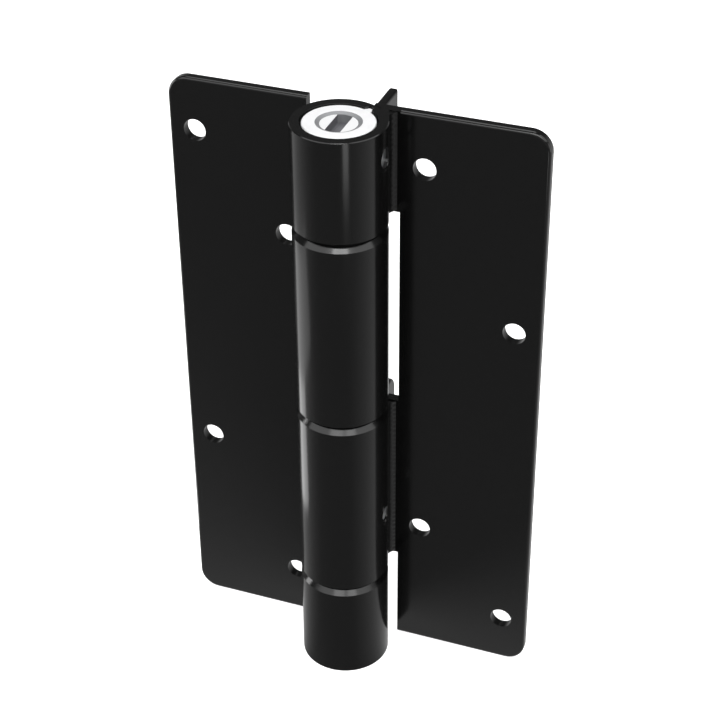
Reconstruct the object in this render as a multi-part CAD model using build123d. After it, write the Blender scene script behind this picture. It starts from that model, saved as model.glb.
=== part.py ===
from build123d import *
import os
from math import cos, radians, sin

# Self-closing gate hinge, in millimetres. The pivot axis is the Z axis and the
# barrel stands on z = 0. X runs towards the gate leaf, and Y away from the viewer,
# towards the post and gate that the leaves are screwed to.

# Driving dimensions
BARREL_R = 19.0
HEIGHT = 261.5
END_KNUCKLE = 44.0
MID_KNUCKLE = 85.5
JOINT_GAP = 2.0
NOTCH_CLEARANCE = 0.5
TOP_CHAMFER = 1.9
FOOT_CHAMFER = 0.2
RIM_CHAMFER = 0.3
PIN_HOLE_CHAMFER = 0.4
SHEET = 4.0
LEAF_INNER = 19.2
LEAF_OUTER = 78.6
LEAF_CORNER_R = 8.5
EDGE_R = 1.4
LEG_X = 8.0
END_LEG_REACH = 33.2
MID_LEG_REACH = 31.0
MID_LEG_RISE = 2.0
HOLE_R = 4.75
INNER_ROW = 29.2
OUTER_ROW = 67.6
INNER_DROPS = (23.0, 198.5)
OUTER_DROPS = (89.5, 239.0)
LEG_CORNER_R = 6.0
LEG_EDGE_R = 1.1
WEB_TILT = 20.0
WEB_FLAT = 8.0
WEB_STEP = 4.0
WELD_LEG = 3.3
WELD_CROWN = 0.25
WELD_INSET = 0.5

HEAD_PIN_R = 4.2
HEAD_PIN_DROP = 12.3
HEAD_PIN_RECESS = 1.7
TUBE_PIN_R = 2.9
TUBE_PIN_DROP = 182.0
TUBE_PIN_RECESS = 0.6

BUSH_R = 16.0
BUSH_FLANGE_R = 17.0
BUSH_FLANGE = 1.9
UPPER_BUSH_DEPTH = 57.0
SHORT_BUSH_DEPTH = 16.5

TUBE_R = 14.3
TUBE_BORE_R = 11.8
RUNNING_FIT = 0.05
PIN_PLAY = 0.8
TUBE_FOOT = 25.0
TUBE_TOP = 255.5
TUBE_DIMPLE = 12.6

HEAD_TOP = 261.1
HEAD_FOOT = 232.0
RIM_BORE_R = 15.0
HEAD_CHAMFER = 0.3
DISH_R = 9.15
DISH_DEPTH = 0.7
ADJUSTER_R = 7.4
ADJUSTER_FOOT = 252.0
SCREWDRIVER_SLOT = 6.2
SCREWDRIVER_DEPTH = 3.5
STEM_R = 4.95
STEM_FOOT = 236.0
OIL_PORT_R = 1.5
KEY_ANGLE = 62.0
KEY_ROOT_R = 13.3
KEY_TIP_R = 16.5
KEY_BASE = 5.0
KEY_TIP = 1.8
KEY_CLEARANCE = 0.35

# Each ring seal: its section radius and the height of its middle
HEAD_SEAL = (0.58, 241.0)
STEM_SEAL = (0.52, 245.0)
PISTON_SEAL = (0.7, 110.0)
GLAND_SEAL = (0.62, 31.5)
GROOVE_PLAY = 0.1

PLUG_FOOT = 0.8
PLUG_TOP = 17.0
SPINDLE_SQUARE = 11.9
SPINDLE_END = 4.2
SPINDLE_R = 6.9
CAM_R = 8.0
CAM_FOOT = 40.0
CAM_TOP = 100.0
GLAND_TOP = 38.0
RACE = 2.0
RACE_BORE_R = 7.2
RACE_R = 14.0
BALL_R = 1.98
BALL_CIRCLE_R = 10.6
BALLS = 14

SWING = 180.0
LEAD = 48.0
CAM_OVERRUN = 20.0
CAM_PIN_R = 1.8
CAM_CLEARANCE = 0.35
CAM_PIN_Z = 62.0
PISTON_R = TUBE_BORE_R - RUNNING_FIT
PISTON_FOOT = 54.0
PISTON_CROWN = 104.0
PISTON_TOP = 116.0
PISTON_BORE_R = 8.1
KEYWAY_WIDTH = 3.2
KEYWAY_R = 12.9
KEYWAY_RUNOUT = 4.0
PISTON_KEY_SEAT = 1.5
PISTON_KEY_Z = (66.0, 90.0)
CHECK_BALL_R = 2.4
GROOVE_ANGLES = (90, 270)

SPRING_WIRE_R = 1.6
SPRING_R = 9.2
SPRING_TURNS = 14
SPRING_MARGIN = 0.15
POINTS_PER_TURN = 36

# Heights that follow from them
UPPER_JOINT = HEIGHT - END_KNUCKLE
MIDDLE_JOINT = UPPER_JOINT - MID_KNUCKLE
LOWER_JOINT = MIDDLE_JOINT - MID_KNUCKLE
HALF_GAP = JOINT_GAP / 2
GATE_UPPER = (UPPER_JOINT + HALF_GAP, HEIGHT)
GATE_LOWER = (LOWER_JOINT + HALF_GAP, MIDDLE_JOINT - HALF_GAP)
POST_UPPER = (MIDDLE_JOINT + HALF_GAP, UPPER_JOINT - HALF_GAP)
POST_LOWER = (0, LOWER_JOINT - HALF_GAP)
END_TAB = (UPPER_JOINT + NOTCH_CLEARANCE, HEIGHT)
MID_TAB = (LOWER_JOINT, MIDDLE_JOINT - WEB_STEP)
LEAF_FRONT = BARREL_R - SHEET
TRAVEL = LEAD * SWING / 360


def rod(radius, low, high):
    """A solid round bar about the pivot axis."""
    return Pos(0, 0, low) * Cylinder(radius, high - low, align=(Align.CENTER, Align.CENTER, Align.MIN))


def ring(outer, inner, low, high):
    """A round tube about the pivot axis."""
    return rod(outer, low, high) - rod(inner, low, high)


def block(x, y, z):
    """A box between two corners, given as (low, high) along each axis."""
    size = [pair[1] - pair[0] for pair in (x, y, z)]
    return Pos(x[0], y[0], z[0]) * Box(*size, align=(Align.MIN, Align.MIN, Align.MIN))


def torus(centre_r, section_r, height):
    return Pos(0, 0, height) * Torus(centre_r, section_r)


def radial_bar(radius, inner, outer, height, angle=0.0):
    """A round bar that points out from the pivot axis at an angle about it."""
    bar = Rot(0, 90, 0) * rod(radius, inner, outer)
    return Pos(0, 0, height) * Rot(0, 0, angle) * bar


def as_post_leaf(shape):
    """Turns a gate-side piece half a turn about Y into the matching post-side piece."""
    return Pos(0, 0, HEIGHT) * Rot(0, 180, 0) * shape


def turned(span):
    """A height span on the post side, as it is before as_post_leaf turns it over."""
    return HEIGHT - span[1], HEIGHT - span[0]


# The sheet leaves

def leaf_plate():
    """The flat part of a leaf, with its two outer corners rounded."""
    width = LEAF_OUTER - LEAF_INNER
    plate = block((LEAF_INNER, LEAF_OUTER), (LEAF_FRONT, BARREL_R), (0, HEIGHT))
    corners = plate.edges().filter_by(Axis.Y).group_by(Axis.X)[-1]
    plate = fillet(corners, LEAF_CORNER_R)
    front = plate.faces().sort_by(Axis.Y)[0]
    outline = [edge for edge in front.edges() if edge.center().X > LEAF_INNER + width / 100]
    return fillet(outline, EDGE_R)


def leaf_tab(low, high, leg_high, reach):
    """The stretch of a leaf that passes behind the barrel and turns back into a short leg."""
    flat = block((LEG_X, LEAF_INNER), (LEAF_FRONT, BARREL_R), (low, high))
    leg = block((LEG_X, LEG_X + SHEET), (LEAF_FRONT, reach), (low, leg_high))
    back_corners = leg.edges().filter_by(Axis.X).group_by(Axis.Y)[-1].sort_by(Axis.Z)
    inner_ends = [edge for edge in back_corners if edge.center().Z < HEIGHT - EDGE_R]
    leg = fillet(inner_ends, LEG_CORNER_R)
    sides = leg.faces().filter_by(Axis.X)
    outlines = [edge for side in sides for edge in side.edges() if edge.center().Y > BARREL_R]
    return flat + fillet(outlines, LEG_EDGE_R) - rod(BARREL_R, low, leg_high)


def leaf_holes():
    """The zig-zag screw holes: two in the row near the barrel and two in the outer row."""
    places = [(INNER_ROW, drop) for drop in INNER_DROPS] + [(OUTER_ROW, drop) for drop in OUTER_DROPS]
    drill = Rot(90, 0, 0) * Cylinder(HOLE_R, 2 * SHEET)
    return [Pos(x, BARREL_R - SHEET / 2, HEIGHT - drop) * drill for x, drop in places]


def bracket():
    """The gate side's leaf: the plate and the two tabs behind its own knuckles."""
    leaf = leaf_plate() + leaf_tab(*END_TAB, END_TAB[1], END_LEG_REACH)
    leaf += leaf_tab(*MID_TAB, MID_TAB[1] + MID_LEG_RISE, MID_LEG_REACH)
    for hole in leaf_holes():
        leaf -= hole
    return leaf


# The barrel's knuckles

def web_foot():
    """Where the web's flat side meets the front of the leaf, as (x, y)."""
    tangent_x = BARREL_R * cos(radians(WEB_TILT))
    tangent_y = BARREL_R * sin(radians(WEB_TILT))
    run = (LEAF_FRONT - tangent_y) / cos(radians(WEB_TILT))
    return tangent_x - run * sin(radians(WEB_TILT)), LEAF_FRONT


def web(span, tab):
    """The tangent web from a knuckle to its leaf, sloped at an end where the leaf's tab stops short."""
    low, high = span
    tangent = (BARREL_R * cos(radians(WEB_TILT)), BARREL_R * sin(radians(WEB_TILT)))
    outline = Polyline((0, 0), tangent, web_foot(), (0, LEAF_FRONT), close=True)
    side = Polyline((0, low), (WEB_FLAT, low), (LEAF_FRONT, max(low, tab[0])),
                    (LEAF_FRONT, min(high, tab[1])), (WEB_FLAT, high), (0, high), close=True)
    across = Pos(0, 0, low) * extrude(make_face(outline), high - low)
    return across & extrude(Plane.YZ * make_face(side), BARREL_R)


def pin_hole(radius, height):
    """What is drilled from a knuckle for a lock pin, widened a little at its mouth."""
    bar = radial_bar(radius, 0, 2 * BARREL_R, height)
    # The cone goes on past the barrel by its own radius, so that it clears the curve.
    cone = Cone(radius, 2 * radius, radius, align=(Align.CENTER, Align.CENTER, Align.MIN))
    return bar + Pos(BARREL_R - PIN_HOLE_CHAMFER, 0, height) * Rot(0, 90, 0) * cone


def knuckle(span, tab, chamfers, bore_r):
    """A length of the barrel with its web, chamfered round its two ends and bored through."""
    low, high = span
    body = rod(BARREL_R, low, high)
    body = chamfer(body.edges().sort_by(Axis.Z)[0], chamfers[0])
    body = chamfer(body.edges().sort_by(Axis.Z)[-1], chamfers[1])
    return body + web(span, tab) - rod(bore_r, low, high)


def end_knuckle(span, chamfers, bore_r):
    return knuckle(span, END_TAB, chamfers, bore_r) - pin_hole(HEAD_PIN_R, HEIGHT - HEAD_PIN_DROP)


def mid_knuckle(span, chamfers, bore_r):
    return knuckle(span, MID_TAB, chamfers, bore_r) - pin_hole(TUBE_PIN_R, HEIGHT - TUBE_PIN_DROP)


def gate_knuckle_upper():
    """The top knuckle, opened out round the cartridge head and notched for the head's key."""
    tube = end_knuckle(GATE_UPPER, (FOOT_CHAMFER, RIM_CHAMFER), TUBE_R + RUNNING_FIT)
    return tube - rod(RIM_BORE_R, TUBE_TOP, HEIGHT) - head_key(KEY_CLEARANCE, TUBE_TOP, HEIGHT)


def weld_beads():
    """The two fillet welds that close the corner between each web and the leaf's front."""
    x, y = web_foot()
    up_web = (x + WELD_LEG * sin(radians(WEB_TILT)), y - WELD_LEG * cos(radians(WEB_TILT)))
    along_leaf = (x + WELD_LEG, y)
    bulge = ((up_web[0] + along_leaf[0]) / 2 - WELD_CROWN, (up_web[1] + along_leaf[1]) / 2 + WELD_CROWN)
    edge = ThreePointArc(up_web, bulge, along_leaf)
    section = make_face(edge + Polyline(along_leaf, (x, y), up_web))
    beads = []
    for low, high in (END_TAB, MID_TAB):
        beads.append(Pos(0, 0, low + WELD_INSET) * extrude(section, high - low - 2 * WELD_INSET))
    return beads


# Bushes and pins

def bush(low, high, flange_low):
    """A flanged bush, whose flange fills a joint between two knuckles."""
    flange = ring(BUSH_FLANGE_R, TUBE_R + RUNNING_FIT, flange_low, flange_low + BUSH_FLANGE)
    return ring(BUSH_R, TUBE_R + RUNNING_FIT, low, high) + flange


def upper_bush():
    top = UPPER_JOINT - HALF_GAP
    sleeve = bush(top - UPPER_BUSH_DEPTH, top, top)
    return sleeve - as_post_leaf(radial_bar(TUBE_PIN_R, 0, BARREL_R, HEIGHT - TUBE_PIN_DROP))


def middle_bush():
    foot = MIDDLE_JOINT + HALF_GAP
    return bush(foot, foot + SHORT_BUSH_DEPTH, foot - BUSH_FLANGE)


def lower_bush():
    top = LOWER_JOINT - HALF_GAP
    return bush(top - SHORT_BUSH_DEPTH, top, top)


def head_pin(inner):
    return radial_bar(HEAD_PIN_R, inner, BARREL_R - HEAD_PIN_RECESS, HEIGHT - HEAD_PIN_DROP)


def tube_pin(inner):
    return radial_bar(TUBE_PIN_R, inner, BARREL_R - TUBE_PIN_RECESS, HEIGHT - TUBE_PIN_DROP)


# The damper cartridge

def head_key(clearance, low, high):
    """The tapered key on the cartridge head, or with a clearance the notch that takes it."""
    root = KEY_ROOT_R - 2 * clearance
    base = KEY_BASE / 2 + clearance
    tip = KEY_TIP / 2 + clearance
    reach = KEY_TIP_R + clearance
    outline = Polyline((root, -base), (reach, -tip), (reach, tip), (root, base), close=True)
    return Pos(0, 0, low) * Rot(0, 0, KEY_ANGLE) * extrude(make_face(outline), high - low)


def cartridge_tube():
    """The hinge pin: the damper's pressure tube, pinned to the gate knuckles."""
    tube = ring(TUBE_R, TUBE_BORE_R, TUBE_FOOT, TUBE_TOP)
    keyway = (PISTON_KEY_Z[0] - KEYWAY_RUNOUT, PISTON_KEY_Z[1] + TRAVEL + KEYWAY_RUNOUT)
    half = KEYWAY_WIDTH / 2
    tube -= block((-KEYWAY_R, -PISTON_R + PISTON_KEY_SEAT), (-half, half), keyway)
    tube -= radial_bar(HEAD_PIN_R, TUBE_DIMPLE, BARREL_R, HEIGHT - HEAD_PIN_DROP)
    return tube - radial_bar(TUBE_PIN_R, TUBE_DIMPLE, BARREL_R, HEIGHT - TUBE_PIN_DROP)


def cartridge_head():
    """The bright plug in the top of the tube, dished round the speed adjuster."""
    flange_r = TUBE_R - RUNNING_FIT / 2
    flange = rod(flange_r, TUBE_TOP, HEAD_TOP)
    flange = chamfer(flange.edges().sort_by(Axis.Z)[-1], HEAD_CHAMFER)
    head = flange + head_key(0, TUBE_TOP, HEAD_TOP - HEAD_CHAMFER) + rod(TUBE_BORE_R, HEAD_FOOT, TUBE_TOP)
    head -= rod(ADJUSTER_R + RUNNING_FIT, ADJUSTER_FOOT, HEAD_TOP)
    dish = Pos(0, 0, HEAD_TOP - DISH_DEPTH) * Cone(
        ADJUSTER_R + RUNNING_FIT, DISH_R, DISH_DEPTH, align=(Align.CENTER, Align.CENTER, Align.MIN))
    head -= dish
    head -= rod(STEM_R + RUNNING_FIT, STEM_FOOT, ADJUSTER_FOOT)
    head -= rod(OIL_PORT_R, HEAD_FOOT, STEM_FOOT)
    return head - seal_groove(TUBE_BORE_R, *HEAD_SEAL)


def speed_adjuster():
    """The slotted valve screw in the middle of the head."""
    top = HEAD_TOP - DISH_DEPTH
    screw = rod(ADJUSTER_R, ADJUSTER_FOOT, top) + rod(STEM_R, STEM_FOOT, ADJUSTER_FOOT)
    half = SCREWDRIVER_SLOT / 2
    screw -= block((-half, half), (-ADJUSTER_R, ADJUSTER_R), (top - SCREWDRIVER_DEPTH, top))
    return screw - seal_groove(STEM_R, *STEM_SEAL)


def seal_groove(shaft_r, section_r, height):
    """What is cut from a shaft to seat a ring seal flush with its surface."""
    half = section_r + GROOVE_PLAY
    return ring(shaft_r + half, shaft_r - 2 * half, height - half, height + half)


def shaft_seal(shaft_r, section_r, height):
    return torus(shaft_r - section_r - GROOVE_PLAY / 2, section_r, height)


def spindle_gland():
    """The nut in the foot of the tube that the spindle turns in."""
    bore_r = SPINDLE_R + RUNNING_FIT
    section_r, height = GLAND_SEAL
    half = section_r + GROOVE_PLAY
    gland = ring(TUBE_BORE_R, bore_r, TUBE_FOOT, GLAND_TOP)
    return gland - ring(bore_r + 2 * half, bore_r, height - half, height + half)


def gland_seal():
    section_r, height = GLAND_SEAL
    return torus(SPINDLE_R + RUNNING_FIT + section_r + GROOVE_PLAY / 2, section_r, height)


def cam_groove(angle):
    """A round-bottomed helical groove, cut by the follower pin's path round the spindle."""
    sweep_angle = SWING + 2 * CAM_OVERRUN
    path = Helix(pitch=LEAD, height=LEAD * sweep_angle / 360, radius=CAM_R, lefthand=True)
    section = (path ^ 0) * Circle(CAM_PIN_R + CAM_CLEARANCE)
    tube = sweep(section, path=path, is_frenet=True)
    foot = CAM_PIN_Z - LEAD * CAM_OVERRUN / 360
    return Pos(0, 0, foot) * Rot(0, 0, angle + CAM_OVERRUN) * tube


def cam_spindle():
    """The spindle, squared into the bottom plug, whose two grooves lift the piston."""
    half = SPINDLE_SQUARE / 2
    spindle = block((-half, half), (-half, half), (SPINDLE_END, PLUG_TOP))
    spindle += rod(SPINDLE_R, PLUG_TOP, CAM_FOOT) + rod(CAM_R, CAM_FOOT, CAM_TOP)
    for angle in GROOVE_ANGLES:
        spindle -= cam_groove(angle)
    return spindle


def bottom_plug():
    """The plug pinned in the lowest knuckle, which holds the spindle still."""
    half = SPINDLE_SQUARE / 2 + RUNNING_FIT
    plug = rod(BUSH_R - RUNNING_FIT, PLUG_FOOT, PLUG_TOP)
    plug = chamfer(plug.edges().sort_by(Axis.Z)[0], RIM_CHAMFER)
    plug -= block((-half, half), (-half, half), (SPINDLE_END, PLUG_TOP))
    return plug - as_post_leaf(radial_bar(HEAD_PIN_R, TUBE_DIMPLE, BARREL_R, HEIGHT - HEAD_PIN_DROP))


def thrust_balls():
    """The ball ring that carries the gate's weight between the plug and the tube."""
    height = (PLUG_TOP + TUBE_FOOT) / 2
    spots = PolarLocations(BALL_CIRCLE_R, BALLS)
    return [Pos(0, 0, height) * spot * Sphere(BALL_R) for spot in spots]


def piston():
    """The piston: a skirt over the spindle under a crown that holds the check ball."""
    body = rod(PISTON_R, PISTON_FOOT, PISTON_TOP) - rod(PISTON_BORE_R, PISTON_FOOT, PISTON_CROWN)
    body -= rod(OIL_PORT_R, PISTON_CROWN, PISTON_TOP)
    middle = (PISTON_CROWN + PISTON_TOP) / 2
    body -= rod(CHECK_BALL_R + GROOVE_PLAY, middle - CHECK_BALL_R, middle + CHECK_BALL_R)
    body -= seal_groove(PISTON_R, *PISTON_SEAL)
    body -= piston_key()
    for angle in GROOVE_ANGLES:
        body -= radial_bar(CAM_PIN_R, CAM_R / 2, TUBE_R, CAM_PIN_Z, angle)
    return body


def piston_key():
    """The key that runs in the tube's keyway and stops the piston turning."""
    half = KEYWAY_WIDTH / 2 - GROOVE_PLAY
    return block((-KEYWAY_R + GROOVE_PLAY, -PISTON_R + PISTON_KEY_SEAT), (-half, half), PISTON_KEY_Z)


def cam_pins():
    """The two round-nosed follower pins that ride in the spindle's grooves."""
    pins = []
    for angle in GROOVE_ANGLES:
        shank = radial_bar(CAM_PIN_R, CAM_R, PISTON_R - GROOVE_PLAY, CAM_PIN_Z, angle)
        nose = Rot(0, 0, angle) * Pos(CAM_R, 0, CAM_PIN_Z) * Sphere(CAM_PIN_R)
        pins.append(shank + nose)
    return pins


def closing_spring():
    """The compression spring that drives the piston down and so closes the gate."""
    low = PISTON_TOP + SPRING_WIRE_R + SPRING_MARGIN
    high = HEAD_FOOT - SPRING_WIRE_R - SPRING_MARGIN
    path = Helix(pitch=(high - low) / SPRING_TURNS, height=high - low, radius=SPRING_R)
    wire = sweep((path ^ 0) * Circle(SPRING_WIRE_R), path=path, is_frenet=True)
    print("spring: least gap between its turns is", round(least_gap(path), 2), "mm")
    return Pos(0, 0, low) * wire


def least_gap(path):
    """The least gap between the spring's turns, measured on points along its wire."""
    steps = POINTS_PER_TURN * SPRING_TURNS
    points = [path @ (step / steps) for step in range(steps + 1)]
    spans = []
    for i, point in enumerate(points):
        later = points[i + POINTS_PER_TURN // 2:i + 2 * POINTS_PER_TURN]
        spans += [(point - other).length for other in later]
    return min(spans) - 2 * SPRING_WIRE_R


def parts():
    """Every node's name and its solid, or its list of separate solids."""
    race_low = ring(RACE_R, RACE_BORE_R, PLUG_TOP, PLUG_TOP + RACE)
    race_high = ring(RACE_R, RACE_BORE_R, TUBE_FOOT - RACE, TUBE_FOOT)
    post_upper = mid_knuckle(turned(POST_UPPER), (TOP_CHAMFER, FOOT_CHAMFER), BUSH_R)
    post_lower = end_knuckle(turned(POST_LOWER), (TOP_CHAMFER, RIM_CHAMFER), BUSH_R)
    return {
        "post_bracket": as_post_leaf(bracket()),
        "post_knuckle_upper": as_post_leaf(post_upper),
        "post_knuckle_lower": as_post_leaf(post_lower),
        "post_weld_beads": [as_post_leaf(bead) for bead in weld_beads()],
        "post_bush_pin": as_post_leaf(tube_pin(TUBE_R + PIN_PLAY / 2)),
        "post_plug_pin": as_post_leaf(head_pin(TUBE_DIMPLE)),
        "upper_bush": upper_bush(),
        "middle_bush": middle_bush(),
        "lower_bush": lower_bush(),
        "bottom_plug": bottom_plug(),
        "cam_spindle": cam_spindle(),
        "thrust_race_lower": race_low,
        "thrust_balls": thrust_balls(),
        "gate_bracket": bracket(),
        "gate_knuckle_upper": gate_knuckle_upper(),
        "gate_knuckle_lower": mid_knuckle(GATE_LOWER, (FOOT_CHAMFER, TOP_CHAMFER), TUBE_R + RUNNING_FIT),
        "gate_weld_beads": weld_beads(),
        "gate_head_pin": head_pin(TUBE_DIMPLE),
        "gate_tube_pin": tube_pin(TUBE_DIMPLE),
        "cartridge_tube": cartridge_tube(),
        "cartridge_head": cartridge_head(),
        "spindle_gland": spindle_gland(),
        "gland_seal": gland_seal(),
        "head_seal": shaft_seal(TUBE_BORE_R, *HEAD_SEAL),
        "closing_spring": closing_spring(),
        "thrust_race_upper": race_high,
        "piston": piston(),
        "piston_seal": shaft_seal(PISTON_R, *PISTON_SEAL),
        "piston_key": piston_key(),
        "cam_pins": cam_pins(),
        "check_ball": Pos(0, 0, (PISTON_CROWN + PISTON_TOP) / 2) * Sphere(CHECK_BALL_R),
        "speed_adjuster": speed_adjuster(),
        "stem_seal": shaft_seal(STEM_R, *STEM_SEAL),
    }


os.makedirs("parts", exist_ok=True)
for name, shape in parts().items():
    solids = shape if isinstance(shape, list) else [shape]
    node = Compound(children=solids) if len(solids) > 1 else solids[0]
    export_step(node, f"parts/{name}.step")
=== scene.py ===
"""A self-closing gate hinge: finishes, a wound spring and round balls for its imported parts, and a studio.

The part's own frame is kept: metres, with +Z up the pivot axis, +X towards the gate leaf, and +Y towards the
post and gate.
"""

from math import pi, radians

import bpy
from mathutils import Matrix, Vector


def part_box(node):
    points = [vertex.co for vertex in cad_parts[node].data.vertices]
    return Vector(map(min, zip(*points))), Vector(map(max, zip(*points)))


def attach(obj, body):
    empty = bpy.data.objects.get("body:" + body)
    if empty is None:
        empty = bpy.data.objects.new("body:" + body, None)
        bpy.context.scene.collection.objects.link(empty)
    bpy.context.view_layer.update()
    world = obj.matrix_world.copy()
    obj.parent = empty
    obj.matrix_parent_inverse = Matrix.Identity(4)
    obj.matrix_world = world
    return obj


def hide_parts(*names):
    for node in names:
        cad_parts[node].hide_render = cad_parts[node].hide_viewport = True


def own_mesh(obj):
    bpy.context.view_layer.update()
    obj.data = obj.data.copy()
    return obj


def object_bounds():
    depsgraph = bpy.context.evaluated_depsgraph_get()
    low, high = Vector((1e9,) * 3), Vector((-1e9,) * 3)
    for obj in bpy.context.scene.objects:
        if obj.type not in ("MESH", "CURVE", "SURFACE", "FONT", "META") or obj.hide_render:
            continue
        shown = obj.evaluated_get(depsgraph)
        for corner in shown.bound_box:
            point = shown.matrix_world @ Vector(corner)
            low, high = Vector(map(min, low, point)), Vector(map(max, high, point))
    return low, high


bl_info = {
    "name": "Self-closing gate hinge",
    "version": (1, 0, 0),
    "blender": (4, 5, 0),
    "location": "3D View > Sidebar > Gate hinge",
    "description": "Finishes, spring, thrust balls and studio for a self-closing gate hinge",
    "category": "Object",
}

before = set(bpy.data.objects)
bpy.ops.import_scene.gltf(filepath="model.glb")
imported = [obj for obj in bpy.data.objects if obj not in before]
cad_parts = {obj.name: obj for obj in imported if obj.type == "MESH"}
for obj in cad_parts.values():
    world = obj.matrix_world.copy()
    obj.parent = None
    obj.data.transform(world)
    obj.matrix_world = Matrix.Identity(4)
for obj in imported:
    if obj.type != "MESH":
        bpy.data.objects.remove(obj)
cad_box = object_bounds()

MM = 0.001
WHITE = (1.0, 1.0, 1.0, 1.0)

# Nodes that share a finish
COATED = ("post_bracket", "gate_bracket", "post_knuckle_upper", "post_knuckle_lower",
          "gate_knuckle_upper", "gate_knuckle_lower")
WELDS = ("post_weld_beads", "gate_weld_beads")
ZINC_PLATED = ("post_bush_pin", "post_plug_pin", "gate_head_pin", "gate_tube_pin", "bottom_plug")
GROUND = ("cartridge_tube", "spindle_gland", "cam_spindle", "thrust_race_lower", "thrust_race_upper",
          "piston", "piston_key", "cam_pins", "check_ball")
BUSHES = ("upper_bush", "middle_bush", "lower_bush")
SEALS = ("gland_seal", "head_seal", "piston_seal", "stem_seal")


def linear(code):
    """An sRGB hex colour as the linear red, green and blue that a shader takes."""
    parts = [int(code[i:i + 2], 16) / 255 for i in (0, 2, 4)]
    return [part / 12.92 if part <= 0.04045 else ((part + 0.055) / 1.055) ** 2.4 for part in parts]


class HingeSizes(bpy.types.PropertyGroup):
    """Sizes that a user may change."""

    orange_peel: bpy.props.FloatProperty(
        name="Orange peel", description="Distance from one ripple of the powder coat to the next",
        default=0.9 * MM, unit="LENGTH")
    turning_pitch: bpy.props.FloatProperty(
        name="Turning pitch", description="Distance between the lathe's marks on the bright head",
        default=0.3 * MM, unit="LENGTH")
    weld_ripple: bpy.props.FloatProperty(
        name="Weld ripple", description="Distance between the ripples of a weld bead",
        default=2.2 * MM, unit="LENGTH")
    spring_turns: bpy.props.IntProperty(
        name="Spring turns", description="Turns of the closing spring", default=14, min=4, max=30)
    spring_wire: bpy.props.FloatProperty(
        name="Spring wire", description="Radius of the closing spring's wire",
        default=1.6 * MM, unit="LENGTH")
    ball_count: bpy.props.IntProperty(
        name="Thrust balls", description="Balls in the thrust bearing", default=14, min=6, max=20)


class HingeColours(bpy.types.PropertyGroup):
    """Colours that a user may change."""

    coat: bpy.props.FloatVectorProperty(
        name="Powder coat", description="Colour of the leaves, knuckles and weld beads",
        subtype="COLOR", size=3, min=0, max=1, default=linear("070707"))
    head: bpy.props.FloatVectorProperty(
        name="Head", description="Colour of the turned head and valve screw",
        subtype="COLOR", size=3, min=0, max=1, default=linear("F2F2F3"))
    zinc: bpy.props.FloatVectorProperty(
        name="Zinc plate", description="Colour of the lock pins and bottom plug",
        subtype="COLOR", size=3, min=0, max=1, default=linear("D8D9DB"))
    floor: bpy.props.FloatVectorProperty(
        name="Floor", description="Colour of the studio floor",
        subtype="COLOR", size=3, min=0, max=1, default=linear("F4F4F4"))


def sizes():
    return bpy.context.scene.hinge_sizes


def colours():
    return bpy.context.scene.hinge_colours


# Materials

def add_node(tree, kind, inputs=None, **settings):
    """Adds a node, sets it up, and fills its inputs with values or with other nodes' sockets."""
    node = tree.nodes.new(kind)
    for name, value in settings.items():
        setattr(node, name, value)
    for name, value in (inputs or {}).items():
        if isinstance(value, bpy.types.NodeSocket):
            tree.links.new(value, node.inputs[name])
        else:
            node.inputs[name].default_value = value
    return node


def new_material(name):
    """An empty node material with its output, as (material, tree, output, object coordinates)."""
    material = bpy.data.materials.new(name)
    material.use_nodes = True
    tree = material.node_tree
    tree.nodes.clear()
    output = add_node(tree, "ShaderNodeOutputMaterial")
    place = add_node(tree, "ShaderNodeTexCoord").outputs["Object"]
    return material, tree, output, place


def shade(tree, output, shader):
    tree.links.new(shader, output.inputs["Surface"])


def opaque(colour):
    return (*colour, 1.0)


def spread(colour, factor):
    """The colour made lighter or darker by a factor, for the ends of a blend."""
    return opaque([min(1.0, part * factor) for part in colour])


def blend_of(tree, factor, dark, light):
    """A colour between two others, each a value or a node's socket, by a socket from 0 to 1."""
    mixed = add_node(tree, "ShaderNodeMix", {"Factor": factor}, data_type="RGBA")
    for socket, colour in zip([socket for socket in mixed.inputs if socket.type == "RGBA"], (dark, light)):
        if isinstance(colour, bpy.types.NodeSocket):
            tree.links.new(colour, socket)
        else:
            socket.default_value = colour
    return next(socket for socket in mixed.outputs if socket.type == "RGBA")


def spread_of(tree, value, low_value, high_value, start=0.3, stop=0.7):
    """A number that runs from one value to another as a texture's value rises."""
    ramp = add_node(tree, "ShaderNodeMapRange", {
        "Value": value, "From Min": start, "From Max": stop, "To Min": low_value, "To Max": high_value})
    return ramp.outputs["Result"]


def noise_of(tree, place, size, detail=2.0):
    """A noise pattern whose features are about the given real size."""
    noise = add_node(tree, "ShaderNodeTexNoise", {"Vector": place, "Scale": 1 / size, "Detail": detail})
    return noise.outputs["Fac"]


def wave_of(tree, length, pitch, phase=None):
    """A number that swings from -1 to 1 once in each pitch of a length, shifted by a socket in radians."""
    turn = 2 * pi / pitch
    if phase is None:
        angle = add_node(tree, "ShaderNodeMath", {0: length, 1: turn}, operation="MULTIPLY")
    else:
        angle = add_node(tree, "ShaderNodeMath", {0: length, 1: turn, 2: phase}, operation="MULTIPLY_ADD")
    wave = add_node(tree, "ShaderNodeMath", {0: angle.outputs["Value"]}, operation="SINE")
    return wave.outputs["Value"]


def height_of(tree, place):
    """The height of each point of a piece."""
    return add_node(tree, "ShaderNodeSeparateXYZ", {"Vector": place}).outputs["Z"]


def radius_of(tree, place):
    """The distance of each point of a piece from the pivot axis."""
    flat = add_node(tree, "ShaderNodeVectorMath", {0: place, 1: (1, 1, 0)}, operation="MULTIPLY")
    length = add_node(tree, "ShaderNodeVectorMath", {0: flat.outputs["Vector"]}, operation="LENGTH")
    return length.outputs["Value"]


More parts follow.
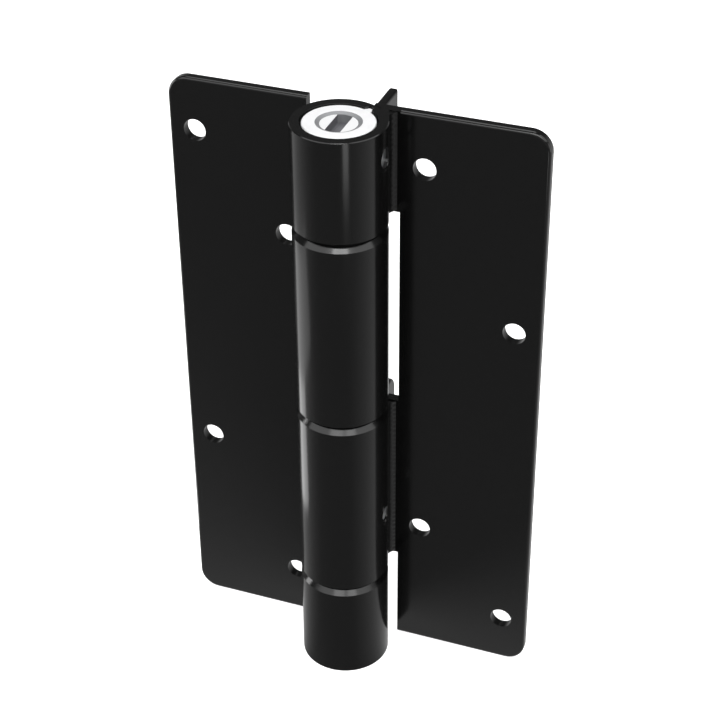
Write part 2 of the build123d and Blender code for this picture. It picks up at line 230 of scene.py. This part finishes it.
def inside_of(tree, value, start, stop):
    """1 where a value lies between two limits and 0 elsewhere."""
    above = add_node(tree, "ShaderNodeMath", {0: value, 1: start}, operation="GREATER_THAN")
    below = add_node(tree, "ShaderNodeMath", {0: value, 1: stop}, operation="LESS_THAN")
    both = add_node(tree, "ShaderNodeMath", {0: above.outputs["Value"], 1: below.outputs["Value"]},
                    operation="MULTIPLY")
    return both.outputs["Value"]


def gloss_coat(tree, output, patches, bump):
    """Ends a material in gloss black polyester, a little duller and paler in patches."""
    colour = blend_of(tree, patches, spread(colours().coat, 0.92), spread(colours().coat, 1.08))
    coat = add_node(tree, "ShaderNodeBsdfPrincipled", {
        "Base Color": colour, "Roughness": spread_of(tree, patches, 0.14, 0.17),
        "Normal": bump.outputs["Normal"], "IOR": 1.5})
    shade(tree, output, coat.outputs["BSDF"])


def polyester_powder_coat():
    """Polyester powder coat, baked on steel: dark, with clear soft reflections and a faint orange peel."""
    material, tree, output, place = new_material("polyester_powder_coat")
    peel = noise_of(tree, place, sizes().orange_peel, detail=1.0)
    bump = add_node(tree, "ShaderNodeBump", {"Height": peel, "Strength": 0.12, "Distance": 0.05 * MM})
    gloss_coat(tree, output, noise_of(tree, place, 40 * MM), bump)
    return material


# How far, in radians, the ripples of a weld run ahead or behind.
WELD_UNEVENNESS = 5.0


def powder_coated_weld():
    """A weld bead under the same coat: its uneven ripples, softened by the powder, catch the light."""
    material, tree, output, place = new_material("powder_coated_weld")
    wander = add_node(tree, "ShaderNodeMath", {0: noise_of(tree, place, 6 * MM), 1: WELD_UNEVENNESS},
                      operation="MULTIPLY")
    ripples = wave_of(tree, height_of(tree, place), sizes().weld_ripple, wander.outputs["Value"])
    bump = add_node(tree, "ShaderNodeBump", {"Height": ripples, "Strength": 0.6, "Distance": 0.15 * MM})
    gloss_coat(tree, output, noise_of(tree, place, 10 * MM), bump)
    return material


# Where the shallow dish round the valve screw lies in the head, and how far below the top face it starts.
DISH_INNER = 7.3 * MM
DISH_OUTER = 9.2 * MM
DISH_DEPTH = 4.6 * MM
DISH_START = 0.02 * MM


def lathe_turned_aluminium():
    """Lathe-turned aluminium: nearly white with fine rings round the axis, and a grey dish of painted shade.
    """
    material, tree, output, place = new_material("lathe_turned_aluminium")
    radius = radius_of(tree, place)
    rings = wave_of(tree, radius, sizes().turning_pitch)
    bump = add_node(tree, "ShaderNodeBump", {"Height": rings, "Strength": 0.15, "Distance": 0.01 * MM})
    cloud = noise_of(tree, place, 2 * MM)
    face = blend_of(tree, cloud, spread(colours().head, 0.97), spread(colours().head, 1.03))
    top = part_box("cartridge_head")[1].z
    across = inside_of(tree, radius, DISH_INNER, DISH_OUTER)
    sunk = inside_of(tree, height_of(tree, place), top - DISH_DEPTH, top - DISH_START)
    dish = add_node(tree, "ShaderNodeMath", {0: across, 1: sunk}, operation="MULTIPLY")
    # Painted shade: the dish is coloured a darker grey all round, standing in for the shade that falls in it.
    colour = blend_of(tree, dish.outputs["Value"], face, opaque(linear("8A8B8D")))
    metal = add_node(tree, "ShaderNodeBsdfPrincipled", {
        "Base Color": colour, "Metallic": 0.4, "Roughness": spread_of(tree, cloud, 0.4, 0.44),
        "Normal": bump.outputs["Normal"]})
    shade(tree, output, metal.outputs["BSDF"])
    return material


# How far below the valve screw's top face its slot starts.
SLOT_START = 0.05 * MM


def milled_stainless_steel():
    """Turned stainless steel with a milled slot: bright on top, and painted shade, a streaky grey, in the
    slot.
    """
    material, tree, output, place = new_material("milled_stainless_steel")
    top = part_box("speed_adjuster")[1].z
    below = add_node(tree, "ShaderNodeMath", {0: height_of(tree, place), 1: top - SLOT_START},
                     operation="LESS_THAN")
    sunk = below.outputs["Value"]
    along = add_node(tree, "ShaderNodeMapping", {"Vector": place, "Scale": (1, 0.08, 1)}).outputs["Vector"]
    streaks = noise_of(tree, along, 0.8 * MM)
    # Painted shade: the slot is coloured a darker grey with random streaks, standing in for the shade down in
    # it.
    slot = blend_of(tree, streaks, opaque(linear("58585C")), opaque(linear("78787C")))
    colour = blend_of(tree, sunk, opaque(colours().head), slot)
    metal = add_node(tree, "ShaderNodeBsdfPrincipled", {
        "Base Color": colour, "Metallic": spread_of(tree, sunk, 0.4, 0.3, start=0, stop=1),
        "Roughness": spread_of(tree, sunk, 0.4, 0.5, start=0, stop=1)})
    shade(tree, output, metal.outputs["BSDF"])
    return material


def bright_zinc_plate():
    """Bright zinc plate on turned steel: pale grey with a faint mottle."""
    material, tree, output, place = new_material("bright_zinc_plate")
    mottle = noise_of(tree, place, 1.5 * MM)
    colour = blend_of(tree, mottle, spread(colours().zinc, 0.85), spread(colours().zinc, 1.1))
    metal = add_node(tree, "ShaderNodeBsdfPrincipled", {
        "Base Color": colour, "Metallic": 1.0, "Roughness": spread_of(tree, mottle, 0.3, 0.42)})
    shade(tree, output, metal.outputs["BSDF"])
    return material


def ground_steel():
    """Ground and lightly oiled steel: dark grey with fine marks round the axis."""
    material, tree, output, place = new_material("ground_steel")
    along = add_node(tree, "ShaderNodeMapping", {"Vector": place, "Scale": (0.1, 0.1, 1)}).outputs["Vector"]
    marks = noise_of(tree, along, 0.4 * MM)
    colour = blend_of(tree, marks, opaque(linear("77787A")), opaque(linear("9A9B9D")))
    metal = add_node(tree, "ShaderNodeBsdfPrincipled", {
        "Base Color": colour, "Metallic": 1.0, "Roughness": spread_of(tree, marks, 0.2, 0.32)})
    shade(tree, output, metal.outputs["BSDF"])
    return material


def oil_tempered_wire():
    """Oil-tempered spring wire: blue-black scale with paler drawn streaks."""
    material, tree, output, place = new_material("oil_tempered_wire")
    streaks = noise_of(tree, place, 1.2 * MM)
    colour = blend_of(tree, streaks, opaque(linear("33363B")), opaque(linear("5A5D62")))
    metal = add_node(tree, "ShaderNodeBsdfPrincipled", {
        "Base Color": colour, "Metallic": 1.0, "Roughness": spread_of(tree, streaks, 0.3, 0.45)})
    shade(tree, output, metal.outputs["BSDF"])
    return material


def moulded_acetal():
    """Moulded black acetal: nearly black between the knuckles, with a dull waxy sheen and a fine grain."""
    material, tree, output, place = new_material("moulded_acetal")
    grain = noise_of(tree, place, 0.5 * MM)
    colour = blend_of(tree, grain, opaque(linear("040404")), opaque(linear("080808")))
    bump = add_node(tree, "ShaderNodeBump", {"Height": grain, "Strength": 0.1, "Distance": 0.02 * MM})
    plastic = add_node(tree, "ShaderNodeBsdfPrincipled", {
        "Base Color": colour, "Roughness": 0.7, "IOR": 1.48, "Specular IOR Level": 0.1,
        "Normal": bump.outputs["Normal"]})
    shade(tree, output, plastic.outputs["BSDF"])
    return material


def nitrile_rubber():
    """Moulded nitrile rubber: matt black, faintly bloomed."""
    material, tree, output, place = new_material("nitrile_rubber")
    bloom = noise_of(tree, place, 2 * MM)
    colour = blend_of(tree, bloom, opaque(linear("0F0F0F")), opaque(linear("1C1C1C")))
    rubber = add_node(tree, "ShaderNodeBsdfPrincipled", {
        "Base Color": colour, "Roughness": spread_of(tree, bloom, 0.6, 0.75), "IOR": 1.52})
    shade(tree, output, rubber.outputs["BSDF"])
    return material


# How bright the floor looks in a reflection, in front of the hinge and behind it, the sines of the bearings
# between which it goes from one to the other, and the glow that whitens the floor for the camera alone.
FRONT_GLOW = 0.22
BACK_GLOW = 0.6
FRONT_BEARING = -0.8
BACK_BEARING = 0.2
CAMERA_GLOW = 0.72


def studio_floor():
    """A pale matt floor that looks white and still takes the hinge's shadow."""
    material, tree, output, place = new_material("studio_floor")
    speck = noise_of(tree, place, 3 * MM)
    colour = blend_of(tree, speck, spread(colours().floor, 0.99), spread(colours().floor, 1.01))
    matt = add_node(tree, "ShaderNodeBsdfDiffuse", {"Color": colour})
    ray = add_node(tree, "ShaderNodeLightPath").outputs
    either = add_node(tree, "ShaderNodeMath", {0: ray["Is Glossy Ray"], 1: ray["Is Transmission Ray"]},
                      operation="MAXIMUM")
    mirrored = either.outputs["Value"]
    flat = add_node(tree, "ShaderNodeVectorMath", {0: place, 1: (1, 1, 0)}, operation="MULTIPLY")
    bearing = add_node(tree, "ShaderNodeVectorMath", {0: flat.outputs["Vector"]}, operation="NORMALIZE")
    back = add_node(tree, "ShaderNodeSeparateXYZ", {"Vector": bearing.outputs["Vector"]}).outputs["Y"]
    graded = spread_of(tree, back, FRONT_GLOW, BACK_GLOW, FRONT_BEARING, BACK_BEARING)
    mirror_glow = add_node(tree, "ShaderNodeMath", {0: mirrored, 1: graded}, operation="MULTIPLY")
    camera_glow = add_node(tree, "ShaderNodeMath", {0: ray["Is Camera Ray"], 1: CAMERA_GLOW},
                           operation="MULTIPLY")
    total = add_node(tree, "ShaderNodeMath", {
        0: mirror_glow.outputs["Value"], 1: camera_glow.outputs["Value"]}, operation="ADD")
    glow = add_node(tree, "ShaderNodeEmission", {"Color": WHITE, "Strength": total.outputs["Value"]})
    seen_matt = add_node(tree, "ShaderNodeMixShader", {0: mirrored, 1: matt.outputs["BSDF"]})
    both = add_node(tree, "ShaderNodeAddShader", {
        0: seen_matt.outputs["Shader"], 1: glow.outputs["Emission"]})
    shade(tree, output, both.outputs["Shader"])
    return material


def finish_nodes(names, material):
    """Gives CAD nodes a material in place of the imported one."""
    for name in names:
        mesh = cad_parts[name].data
        mesh.materials.clear()
        mesh.materials.append(material)


# Geometry-node pieces

def new_tree(name, inputs):
    """A geometry-node tree with named inputs, as (tree, group input, group output)."""
    tree = bpy.data.node_groups.new(name, "GeometryNodeTree")
    tree.interface.new_socket("Geometry", in_out="INPUT", socket_type="NodeSocketGeometry")
    for label, kind in inputs:
        tree.interface.new_socket(label, in_out="INPUT", socket_type=kind)
    tree.interface.new_socket("Geometry", in_out="OUTPUT", socket_type="NodeSocketGeometry")
    return tree, tree.nodes.new("NodeGroupInput"), tree.nodes.new("NodeGroupOutput")


def end_tree(tree, output, geometry, height, material):
    """Ends a tree: its geometry raised to a height and made real, with smooth shading and a material."""
    raised = add_node(tree, "ShaderNodeCombineXYZ", {"Z": height})
    placed = add_node(tree, "GeometryNodeTransform", {
        "Geometry": geometry, "Translation": raised.outputs["Vector"]})
    real = add_node(tree, "GeometryNodeRealizeInstances", {"Geometry": placed.outputs["Geometry"]})
    smooth = add_node(tree, "GeometryNodeSetShadeSmooth", {"Geometry": real.outputs["Geometry"]})
    painted = add_node(tree, "GeometryNodeSetMaterial", {
        "Geometry": smooth.outputs["Geometry"], "Material": material})
    tree.links.new(painted.outputs["Geometry"], output.inputs["Geometry"])


def grow(name, tree, values):
    """Runs a tree with its inputs set, and returns the plain mesh object that it makes."""
    seed = bpy.data.objects.new(name + "_seed", bpy.data.meshes.new(name + "_seed"))
    bpy.context.collection.objects.link(seed)
    modifier = seed.modifiers.new("Grow", "NODES")
    modifier.node_group = tree
    for item in tree.interface.items_tree:
        if item.in_out == "INPUT" and item.name in values:
            modifier[item.identifier] = values[item.name]
    view = bpy.context.evaluated_depsgraph_get()
    mesh = bpy.data.meshes.new_from_object(seed.evaluated_get(view))
    mesh.name = name
    piece = bpy.data.objects.new(name, mesh)
    bpy.context.collection.objects.link(piece)
    seed.modifiers.remove(modifier)
    bpy.data.objects.remove(seed)
    if not mesh.polygons:
        raise RuntimeError(f"{name} came out empty")
    return piece


def settle(piece, body, slot, *nodes):
    """Makes a piece ride a body in place of the CAD nodes that it stands for."""
    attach(piece, body)
    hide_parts(*nodes)


def spring_tree(material):
    """A round wire along a helix, capped at both ends."""
    tree, given, output = new_tree("closing_spring", [
        ("Turns", "NodeSocketFloat"), ("Coil Radius", "NodeSocketFloat"), ("Height", "NodeSocketFloat"),
        ("Wire Radius", "NodeSocketFloat"), ("Foot", "NodeSocketFloat")])
    size = given.outputs
    helix = add_node(tree, "GeometryNodeCurveSpiral", {
        "Resolution": 48, "Rotations": size["Turns"], "Start Radius": size["Coil Radius"],
        "End Radius": size["Coil Radius"], "Height": size["Height"]})
    section = add_node(tree, "GeometryNodeCurvePrimitiveCircle", {
        "Resolution": 16, "Radius": size["Wire Radius"]})
    wire = add_node(tree, "GeometryNodeCurveToMesh", {
        "Curve": helix.outputs["Curve"], "Profile Curve": section.outputs["Curve"], "Fill Caps": True})
    end_tree(tree, output, wire.outputs["Mesh"], size["Foot"], material)
    return tree


def ball_tree(material):
    """Balls set round a circle."""
    tree, given, output = new_tree("thrust_balls", [
        ("Count", "NodeSocketInt"), ("Circle Radius", "NodeSocketFloat"), ("Ball Radius", "NodeSocketFloat"),
        ("Height", "NodeSocketFloat")])
    size = given.outputs
    circle = add_node(tree, "GeometryNodeMeshCircle", {
        "Vertices": size["Count"], "Radius": size["Circle Radius"]})
    ball = add_node(tree, "GeometryNodeMeshUVSphere", {
        "Segments": 24, "Rings": 12, "Radius": size["Ball Radius"]})
    set_round = add_node(tree, "GeometryNodeInstanceOnPoints", {
        "Points": circle.outputs["Mesh"], "Instance": ball.outputs["Mesh"]})
    end_tree(tree, output, set_round.outputs["Instances"], size["Height"], material)
    return tree


# Operators

class HINGE_OT_coated_steel(bpy.types.Operator):
    """Powder coats the two leaves, the four knuckles and the weld beads"""

    bl_idname = "hinge.coated_steel"
    bl_label = "Leaves, knuckles and welds"

    def execute(self, context):
        finish_nodes(COATED, polyester_powder_coat())
        finish_nodes(WELDS, powder_coated_weld())
        return {"FINISHED"}


class HINGE_OT_head(bpy.types.Operator):
    """Finishes the bright head and its slotted valve screw"""

    bl_idname = "hinge.head"
    bl_label = "Head and valve screw"

    def execute(self, context):
        finish_nodes(["cartridge_head"], lathe_turned_aluminium())
        finish_nodes(["speed_adjuster"], milled_stainless_steel())
        return {"FINISHED"}


class HINGE_OT_pins(bpy.types.Operator):
    """Zinc plates the lock pins and the bottom plug"""

    bl_idname = "hinge.pins"
    bl_label = "Lock pins and plug"

    def execute(self, context):
        finish_nodes(ZINC_PLATED, bright_zinc_plate())
        return {"FINISHED"}


class HINGE_OT_bushes(bpy.types.Operator):
    """Finishes the flanged bushes in the joints"""

    bl_idname = "hinge.bushes"
    bl_label = "Bushes"

    def execute(self, context):
        finish_nodes(BUSHES, moulded_acetal())
        return {"FINISHED"}


class HINGE_OT_cartridge(bpy.types.Operator):
    """Finishes the damper's steel pieces and its seals"""

    bl_idname = "hinge.cartridge"
    bl_label = "Damper cartridge"

    def execute(self, context):
        finish_nodes(GROUND, ground_steel())
        finish_nodes(SEALS, nitrile_rubber())
        return {"FINISHED"}


class HINGE_OT_spring(bpy.types.Operator):
    """Winds the closing spring at one length; the real spring shortens as the piston rises"""

    bl_idname = "hinge.spring"
    bl_label = "Closing spring"

    def execute(self, context):
        foot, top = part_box("closing_spring")
        length = top.z - foot.z
        wire = sizes().spring_wire
        spring = grow("wound_spring", spring_tree(oil_tempered_wire()), {
            "Turns": float(sizes().spring_turns), "Coil Radius": top.x - wire, "Height": length - 2 * wire,
            "Wire Radius": wire, "Foot": foot.z + wire})
        settle(spring, "gate_leaf", "spring_steel", "closing_spring")
        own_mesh(spring)
        return {"FINISHED"}


class HINGE_OT_balls(bpy.types.Operator):
    """Sets the thrust balls round their circle"""

    bl_idname = "hinge.balls"
    bl_label = "Thrust balls"

    def execute(self, context):
        foot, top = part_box("thrust_balls")
        radius = (top.z - foot.z) / 2
        balls = grow("ball_ring", ball_tree(ground_steel()), {
            "Count": sizes().ball_count, "Circle Radius": top.x - radius, "Ball Radius": radius,
            "Height": (top.z + foot.z) / 2})
        settle(balls, "post_leaf", "plain_steel", "thrust_balls")
        return {"FINISHED"}


# Studio

CAMERA_PLACE = (229.4 * MM, -584.6 * MM, 572.5 * MM)
CAMERA_TURN = 20.76
CAMERA_DIP = 33.71
CAMERA_ROLL = -0.44
CAMERA_LENS = 92.7
CAMERA_SENSOR = 36.0
CAMERA_NEAR = 0.01
FLOOR_SIDE = 12.0

# How bright the studio looks in a reflection at the horizon and overhead, the sines of the elevations between
# which it goes from one to the other, and how brightly it fills in elsewhere.
HORIZON_GLOW = 0.5
SKY_GLOW = 0.1
HORIZON_HEIGHT = 0.1
SKY_HEIGHT = 0.38
FILL = 0.3


def add_camera():
    """The camera that looks at the hinge as the photograph does."""
    data = bpy.data.cameras.new("studio_camera")
    data.lens = CAMERA_LENS
    data.sensor_width = CAMERA_SENSOR
    data.clip_start = CAMERA_NEAR
    camera = bpy.data.objects.new("studio_camera", data)
    bpy.context.collection.objects.link(camera)
    turn = Matrix.Rotation(radians(CAMERA_TURN), 4, "Z")
    dip = Matrix.Rotation(radians(90 - CAMERA_DIP), 4, "X")
    roll = Matrix.Rotation(radians(CAMERA_ROLL), 4, "Z")
    camera.matrix_world = Matrix.Translation(CAMERA_PLACE) @ turn @ dip @ roll
    bpy.context.scene.camera = camera


def add_panel_light(name, place, aim, size, power):
    """A soft rectangular light that points from one place to another, and that the camera doesn't see."""
    data = bpy.data.lights.new(name, "AREA")
    data.shape = "RECTANGLE"
    data.size, data.size_y = size
    data.energy = power
    light = bpy.data.objects.new(name, data)
    light.visible_camera = False
    bpy.context.collection.objects.link(light)
    towards = Vector(aim) - Vector(place)
    light.matrix_world = Matrix.Translation(place) @ towards.to_track_quat("-Z", "Y").to_matrix().to_4x4()


def add_side_lights(aim):
    """Tall strips at both sides, for the bright lines down the barrel's flanks."""
    add_panel_light("left_strip", place=(-0.9, -0.1, 0.2), aim=aim, size=(0.2, 0.7), power=2.5)
    add_panel_light("right_strip", place=(0.9, 0.15, 0.2), aim=aim, size=(0.2, 0.7), power=1.5)


def add_overhead_lights(aim):
    """Panels above the camera, which the chamfers at the joints mirror, and one for the leaves' top edges."""
    add_panel_light("front_upper", place=(0.2, -0.515, 1.17), aim=aim, size=(0.5, 0.1), power=1.4)
    add_panel_light("front_lower", place=(0.22, -0.58, 0.91), aim=aim, size=(0.85, 0.38), power=2.3)
    add_panel_light("left_softbox", place=(-0.35, -0.54, 0.88), aim=aim, size=(1.3, 0.6), power=4.4)
    add_panel_light("right_softbox", place=(0.65, -0.08, 0.88), aim=aim, size=(1.4, 0.6), power=4.8)
    top = (0, 0, 261 * MM)
    add_panel_light("back_top", place=(-0.17, 0.46, 1.12), aim=top, size=(0.75, 0.75), power=3.6)


def add_low_lights():
    """Panels near the floor: two face up at the left, and one makes the pale line on the top knuckle."""
    add_panel_light("left_near", place=(-0.17, 0.03, 0.004), aim=(-0.17, 0.03, 1.0), size=(0.11, 0.12),
                    power=0.08)
    add_panel_light("left_far", place=(-0.3, 0.03, 0.004), aim=(-0.3, 0.03, 1.0), size=(0.14, 0.36),
                    power=0.12)
    add_panel_light("front_stripe", place=(0.271, -0.383, 0.05), aim=(0, 0, 0.25), size=(0.1, 0.085),
                    power=0.056)


def add_floor():
    """The pale floor that the barrel and both leaves stand on."""
    mesh = bpy.data.meshes.new("floor")
    half = FLOOR_SIDE / 2
    height = cad_box[0][2]
    corners = [(-half, -half, height), (half, -half, height), (half, half, height), (-half, half, height)]
    mesh.from_pydata(corners, [], [(0, 1, 2, 3)])
    mesh.materials.append(studio_floor())
    floor = bpy.data.objects.new("floor", mesh)
    bpy.context.collection.objects.link(floor)


def light_world():
    """White behind everything that the camera sees, a grey in reflections that dims from the horizon upwards,
    and a dim even fill elsewhere.
    """
    world = bpy.data.worlds.new("studio")
    world.use_nodes = True
    tree = world.node_tree
    tree.nodes.clear()
    ray = add_node(tree, "ShaderNodeLightPath").outputs
    seen = add_node(tree, "ShaderNodeMath", {0: ray["Is Camera Ray"], 1: ray["Is Glossy Ray"]},
                    operation="MAXIMUM")
    either = add_node(tree, "ShaderNodeMath", {0: seen.outputs["Value"], 1: ray["Is Transmission Ray"]},
                      operation="MAXIMUM")
    direction = add_node(tree, "ShaderNodeTexCoord").outputs["Generated"]
    mirrored = spread_of(tree, height_of(tree, direction), HORIZON_GLOW, SKY_GLOW, HORIZON_HEIGHT, SKY_HEIGHT)
    shown = add_node(tree, "ShaderNodeMath", {0: mirrored, 1: ray["Is Camera Ray"]}, operation="MAXIMUM")
    strength = add_node(tree, "ShaderNodeMix", {
        "Factor": either.outputs["Value"], "A": FILL, "B": shown.outputs["Value"]})
    sky = add_node(tree, "ShaderNodeBackground", {"Color": WHITE, "Strength": strength.outputs["Result"]})
    output = add_node(tree, "ShaderNodeOutputWorld")
    shade(tree, output, sky.outputs["Background"])
    bpy.context.scene.world = world


class HINGE_OT_stage(bpy.types.Operator):
    """Sets the floor, the soft lights and the camera"""

    bl_idname = "hinge.stage"
    bl_label = "Studio"

    def execute(self, context):
        middle = (0, 0, 130 * MM)
        add_camera()
        add_floor()
        light_world()
        add_side_lights(middle)
        add_overhead_lights(middle)
        add_low_lights()
        context.scene.view_settings.view_transform = "Standard"
        return {"FINISHED"}


class HINGE_PT_pieces(bpy.types.Panel):
    """Lists the hinge's pieces and their sizes and colours"""

    bl_idname = "HINGE_PT_pieces"
    bl_label = "Gate hinge"
    bl_space_type = "VIEW_3D"
    bl_region_type = "UI"
    bl_category = "Gate hinge"

    def draw(self, context):
        for group in (context.scene.hinge_sizes, context.scene.hinge_colours):
            for name in group.bl_rna.properties.keys():
                if name not in ("rna_type", "name"):
                    self.layout.prop(group, name)
        for operator in OPERATORS:
            self.layout.operator(operator.bl_idname)


OPERATORS = (HINGE_OT_coated_steel, HINGE_OT_head, HINGE_OT_pins, HINGE_OT_bushes, HINGE_OT_cartridge,
             HINGE_OT_spring, HINGE_OT_balls, HINGE_OT_stage)
CLASSES = (HingeSizes, HingeColours, *OPERATORS, HINGE_PT_pieces)


def register():
    for item in CLASSES:
        bpy.utils.register_class(item)
    bpy.types.Scene.hinge_sizes = bpy.props.PointerProperty(type=HingeSizes)
    bpy.types.Scene.hinge_colours = bpy.props.PointerProperty(type=HingeColours)


def unregister():
    del bpy.types.Scene.hinge_colours
    del bpy.types.Scene.hinge_sizes
    for item in reversed(CLASSES):
        bpy.utils.unregister_class(item)


def main():
    register()
    for operator in OPERATORS:
        group, name = operator.bl_idname.split(".")
        getattr(getattr(bpy.ops, group), name)()


if __name__ == "__main__":
    main()
